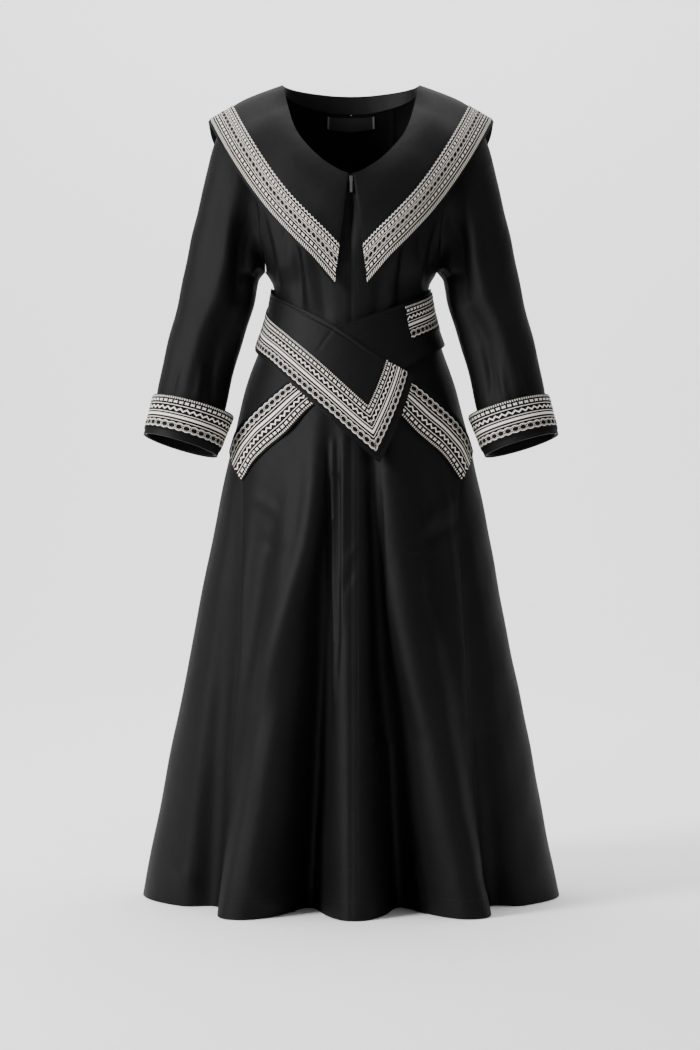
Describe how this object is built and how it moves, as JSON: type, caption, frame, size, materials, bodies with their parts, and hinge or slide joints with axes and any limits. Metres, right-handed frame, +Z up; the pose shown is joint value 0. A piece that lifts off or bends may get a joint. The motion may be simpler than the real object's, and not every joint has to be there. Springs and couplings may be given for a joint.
{
  "type": "party dress",
  "caption": "Floor-length black coat-dress with long sleeves, a flared fluted skirt, cape collar, crossed obi belt, slanted pocket welts and embroidered bands, filled out as worn.",
  "frame": {"origin": "midway between the shoulder seams where they meet the neck, where the wearer carries the dress", "axes": "+Z up, the front faces -Y, +X to the right as seen from the front"},
  "size_m": [0.708, 0.5528, 1.3756],
  "materials": {
    "cloth": "smooth black cotton twill with a slight sheen",
    "band": "black cotton with raised white thread embroidery",
    "label": "woven satin, bare",
    "zip": "satin"
  },
  "bodies": {
    "dress": {"front_left": "cloth", "front_right": "cloth", "side_left": "cloth", "side_right": "cloth", "back_left": "cloth", "back_right": "cloth", "back_centre": "cloth", "sleeve_left": "cloth", "sleeve_right": "cloth", "cuff_left": "cloth", "cuff_right": "cloth", "collar_left": "cloth", "collar_right": "cloth", "neck_stand": "cloth", "belt_back": "cloth", "belt_over": "cloth", "belt_under": "cloth", "pocket_welt_left": "cloth", "pocket_welt_right": "cloth", "trim_collar_left": "band", "trim_collar_right": "band", "trim_cuff_left": "band", "trim_cuff_right": "band", "trim_belt_over": "band", "trim_belt_under": "band", "trim_belt_back": "band", "trim_pocket_left": "band", "trim_pocket_right": "band", "zip_tape": "cloth", "zip_slider": "zip", "neck_label": "label"},
    "pull": {"zip_pull": "zip"}
  },
  "joints": [
    {"name": "zip_pull_swing", "type": "hinge", "parent": "dress", "child": "pull", "pos_m": [0, -0.13745, -0.1641], "axis": [-1, 0, 0], "range_deg": [0, 150]}
  ]
}
